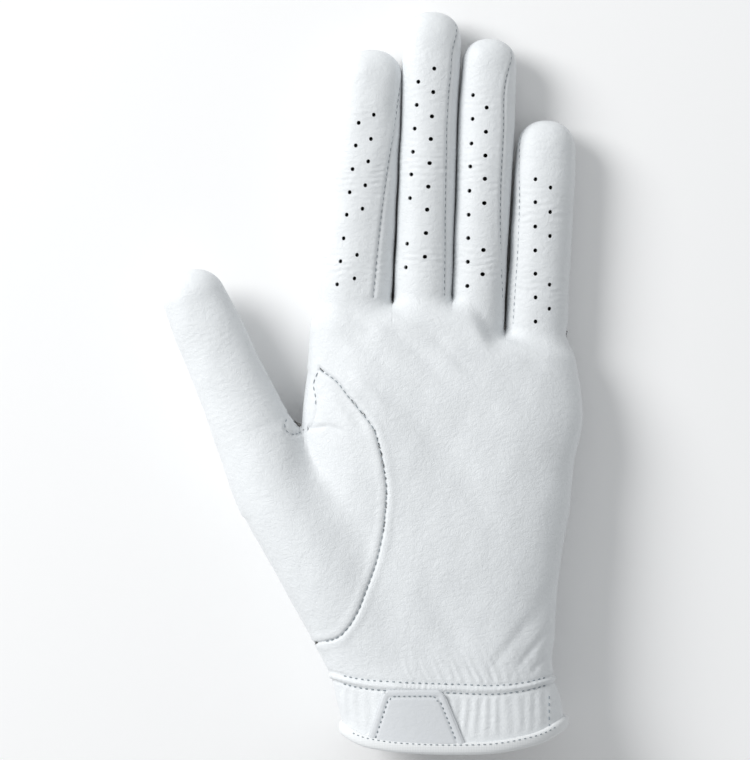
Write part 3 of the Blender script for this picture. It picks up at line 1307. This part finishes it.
def make_seam_stitches():
    """Every visible row of stitches on the leather."""
    runs = []
    seam = line_points(THUMB_SEAM, SEAM_FOOT[0] + 0.6, SEAM_TOP[0] - 0.2, 240)
    offset = np.gradient(seam, axis=0)
    offset = np.stack([offset[:, 1], -offset[:, 0]], -1)
    offset /= np.linalg.norm(offset, axis=1, keepdims=True)
    runs.append(on_palm(seam - offset * 0.15))
    runs.append(on_palm(line_points(SIDE_SEAM, -8.0, 2.6, 40)))
    runs.append(on_palm(QUIRK_POINTS))
    stitches("thumb_seam_stitches", runs, "hand", 2.0, 1.5, 0.26, 0.0)
    rows = []
    for table in (CASING_TOP, CASING_FOOT):
        x = np.linspace(-9.5, 52.5, 200)
        rows.append(on_palm(np.stack([x, through(table, x)], -1)))
    y = np.linspace(-96.0, -106.5, 30)
    rows.append(on_palm(np.stack([np.full(30, 53.4), y], -1)))
    stitches("wrist_stitches", rows, "hand", 1.95, 1.1, 0.4, -0.05)
    for name in FINGERS:
        for segment in ("lower", "upper"):
            s = digit_rows(name, segment)
            s = s[s < DIGITS[name]["length"] - 3.0]
            angle = through(DIGITS[name]["seams"], s)
            point, ray = digit_skin(name, s, angle)
            point = point - ray * 0.28
            stitches(f"{name}_{segment}_stitches", [(point, ray)], blend_zone(name, segment),
                     1.9, 1.2, 0.2, 0.04)


# Add-on ---------------------------------------------------------------------------------
class GloveFinish(bpy.types.PropertyGroup):
    """Sizes and colours of the finished glove"""

    leather: bpy.props.FloatProperty(
        name="Leather", description="Thickness of the leather", default=0.55 * MM,
        unit="LENGTH", precision=5)
    perforation: bpy.props.FloatProperty(
        name="Perforation", description="Diameter of a perforation", default=1.3 * MM,
        unit="LENGTH", precision=5)
    leather_hex: bpy.props.StringProperty(
        name="Leather colour", description="sRGB colour of the leather", default="#E6E9EB")
    patch_hex: bpy.props.StringProperty(
        name="Patch colour", description="sRGB colour of the cuff patch", default="#D5D8DB")
    thread_hex: bpy.props.StringProperty(
        name="Thread colour", description="sRGB colour of the thread", default="#98A1A7")
    tape_hex: bpy.props.StringProperty(
        name="Binding colour", description="sRGB colour of the hem binding", default="#E8EAEB")


class GLOVE_OT_palm(bpy.types.Operator):
    """Make the palm, the ball of the thumb and the back"""

    bl_idname = "glove.palm"
    bl_label = "Palm and back"

    def execute(self, context):
        make_palm()
        make_thumb_ball()
        make_gusset()
        make_back()
        return {"FINISHED"}


class GLOVE_OT_digits(bpy.types.Operator):
    """Make the fingers and the thumb"""

    bl_idname = "glove.digits"
    bl_label = "Fingers and thumb"

    def execute(self, context):
        for name in DIGITS:
            make_digit(name)
        return {"FINISHED"}


class GLOVE_OT_stitches(bpy.types.Operator):
    """Make the rows of stitches"""

    bl_idname = "glove.stitches"
    bl_label = "Stitches"

    def execute(self, context):
        make_seam_stitches()
        return {"FINISHED"}


class GLOVE_OT_trims(bpy.types.Operator):
    """Make the binding, the patch, the elastic, the label and the closure"""

    bl_idname = "glove.trims"
    bl_label = "Cuff and closure"

    def execute(self, context):
        make_trims()
        return {"FINISHED"}


class GLOVE_OT_stage(bpy.types.Operator):
    """Make the floor, the lights and the camera"""

    bl_idname = "glove.stage"
    bl_label = "Stage"

    def execute(self, context):
        make_stage()
        return {"FINISHED"}


def make_stage():
    """A white floor, one large soft light from the upper left, and a camera overhead."""
    scene = bpy.context.scene
    half, level = 1.5, -0.0003
    mesh = bpy.data.meshes.new("floor")
    corners = [(x * half, y * half, level) for x, y in ((-1, -1), (1, -1), (1, 1), (-1, 1))]
    mesh.from_pydata(corners, [], [(0, 1, 2, 3)])
    material = bpy.data.materials.new("white_paper")
    material.use_nodes = True
    shader = material.node_tree.nodes["Principled BSDF"]
    shader.inputs["Base Color"].default_value = linear("#FBFBFB")
    shader.inputs["Roughness"].default_value = 0.9
    mesh.materials.append(material)
    link("floor", mesh)
    world = bpy.data.worlds.new("studio")
    scene.world = world
    world.use_nodes = True
    sky = world.node_tree.nodes["Background"]
    sky.inputs["Color"].default_value = (0.965, 0.985, 1, 1)
    sky.inputs["Strength"].default_value = 0.5
    light = bpy.data.lights.new("soft_key", "AREA")
    light.shape, light.size, light.energy = "DISK", 0.9, 23.0
    key = link("soft_key", light)
    key.location = (-1.15, 0.7, 0.95)
    key.rotation_euler = (-Vector(key.location)).to_track_quat("-Z", "Y").to_euler()
    camera = bpy.data.cameras.new("camera")
    camera.lens, camera.sensor_width = 300.0, 36.0
    eye = link("camera", camera)
    view_height, glove_middle = 0.2333, 0.02
    distance = view_height * camera.lens / camera.sensor_width
    eye.location = (0.0003, 0.0, glove_middle + distance)
    scene.camera = eye
    scene.view_settings.view_transform = "Standard"


class GLOVE_PT_panel(bpy.types.Panel):
    """The glove's sizes, colours and parts"""

    bl_idname = "GLOVE_PT_panel"
    bl_label = "Golf Glove"
    bl_space_type = "VIEW_3D"
    bl_region_type = "UI"
    bl_category = "Glove"

    def draw(self, context):
        for key in GloveFinish.__annotations__:
            self.layout.prop(context.scene.glove_finish, key)
        for operator in OPERATORS:
            self.layout.operator(operator.bl_idname)


OPERATORS = (GLOVE_OT_palm, GLOVE_OT_digits, GLOVE_OT_stitches, GLOVE_OT_trims,
             GLOVE_OT_stage)
CLASSES = (GloveFinish, *OPERATORS, GLOVE_PT_panel)


def register():
    """Adds the properties, operators and panel."""
    for cls in CLASSES:
        bpy.utils.register_class(cls)
    bpy.types.Scene.glove_finish = bpy.props.PointerProperty(type=GloveFinish)


def unregister():
    """Takes them away again."""
    del bpy.types.Scene.glove_finish
    for cls in reversed(CLASSES):
        bpy.utils.unregister_class(cls)


def main():
    """Makes the whole glove."""
    register()
    bpy.ops.glove.palm()
    bpy.ops.glove.digits()
    bpy.ops.glove.stitches()
    bpy.ops.glove.trims()
    bpy.ops.glove.stage()


if __name__ == "__main__":
    main()
